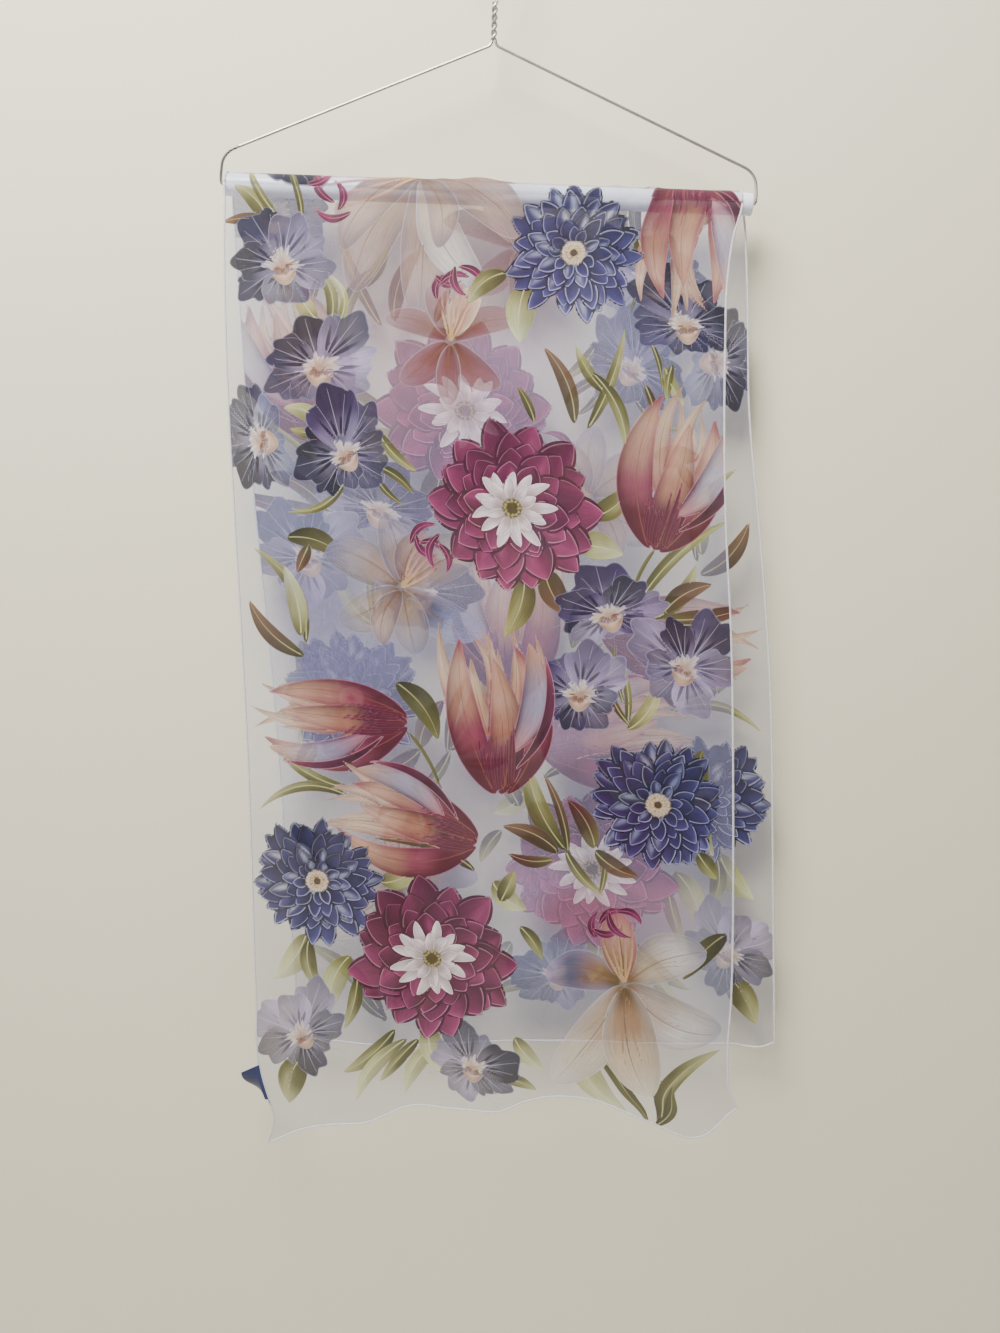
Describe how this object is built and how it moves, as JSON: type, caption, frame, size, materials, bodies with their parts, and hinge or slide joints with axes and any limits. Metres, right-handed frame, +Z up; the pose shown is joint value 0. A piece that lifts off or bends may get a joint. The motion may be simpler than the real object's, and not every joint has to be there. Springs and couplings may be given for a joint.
{
  "type": "printed chiffon scarf on a wire strut hanger",
  "caption": "Sheer floral scarf folded over the round bar of a wire strut hanger, longer at the front, with a small plain side label",
  "frame": {"origin": "inside of the hook's crown, where a rail carries the hanger", "axes": "+Z up, +X to the right along the bar seen from the front, +Y from the longer front drop towards the back drop"},
  "size_m": [0.4451, 0.0261, 0.9632],
  "materials": {
    "chiffon": "sheer matt chiffon, white ground with a large floral print",
    "label_satin": "navy satin ribbon, plain",
    "tube_white": "smooth white paper tube with a lacquered skin",
    "wire_steel": "dull drawn steel wire"
  },
  "bodies": {
    "root": {"scarf_front_drop": "chiffon", "scarf_over_bar": "chiffon", "scarf_back_drop": "chiffon", "label": "label_satin", "hanger_bar": "tube_white", "shoulder_wire_left": "wire_steel", "shoulder_wire_right": "wire_steel", "hook_wire": "wire_steel"}
  },
  "joints": []
}
